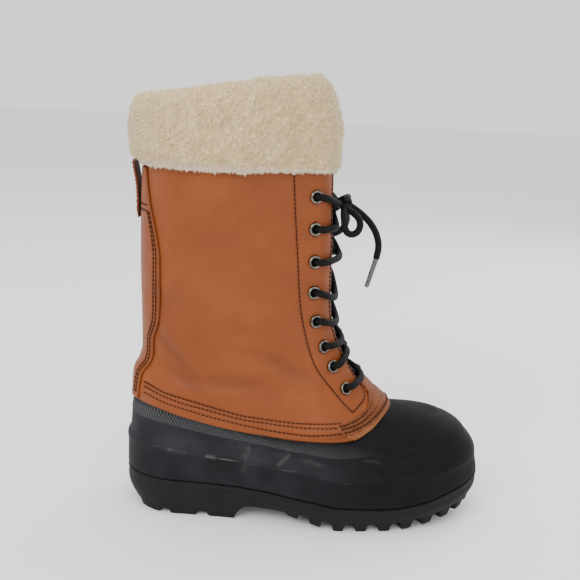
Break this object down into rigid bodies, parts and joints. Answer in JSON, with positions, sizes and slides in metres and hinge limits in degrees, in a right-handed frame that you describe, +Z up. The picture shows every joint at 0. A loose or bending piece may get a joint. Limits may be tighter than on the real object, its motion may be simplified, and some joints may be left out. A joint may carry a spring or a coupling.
{
  "type": "pac boot",
  "caption": "Tall lace-up winter boot for the right foot: hollow leather shaft with a tongue and laces, moulded rubber shell, lugged sole and a shearling cuff at the collar.",
  "frame": {"origin": "on the floor, at the middle of the tread bar between the heel's second pair of lugs", "axes": "+X from heel to toe, -Y to the outer (lateral) side of the right foot, +Z up the shaft"},
  "size_m": [0.2971, 0.1374, 0.3531],
  "materials": {
    "tread_rubber": "matt, worn",
    "shell_rubber": "satin, scuffed",
    "felt": "felted wool",
    "leather": "smooth full grain, low sheen",
    "dark_leather": "oiled, rougher grain",
    "shearling": "dense short curled pile",
    "nickel": "antique nickel",
    "lace": "round braid",
    "aglet": "speckled sleeve"
  },
  "bodies": {
    "root": {"outsole": "tread_rubber", "rubber_shell": "shell_rubber", "insole": "felt", "leather_upper": "leather", "vamp_band": "dark_leather", "tongue": "leather", "backstay": "leather", "pull_loop": "dark_leather", "fur_cuff": "shearling", "eyelet_lateral_1": "nickel", "eyelet_lateral_2": "nickel", "eyelet_lateral_3": "nickel", "eyelet_lateral_4": "nickel", "eyelet_lateral_5": "nickel", "eyelet_lateral_6": "nickel", "eyelet_lateral_7": "nickel", "eyelet_lateral_8": "nickel", "eyelet_medial_1": "nickel", "eyelet_medial_2": "nickel", "eyelet_medial_3": "nickel", "eyelet_medial_4": "nickel", "eyelet_medial_5": "nickel", "eyelet_medial_6": "nickel", "eyelet_medial_7": "nickel", "eyelet_medial_8": "nickel", "lace_crossing_1": "lace", "lace_crossing_2": "lace", "lace_crossing_3": "lace", "lace_crossing_4": "lace", "lace_crossing_5": "lace", "lace_crossing_6": "lace", "lace_crossing_7": "lace", "lace_top": "lace", "lace_knot": "lace", "lace_loop_near": "lace", "lace_loop_far": "lace", "lace_end_near": "lace", "lace_end_far": "lace", "aglet_near": "aglet", "aglet_far": "aglet"}
  },
  "joints": []
}
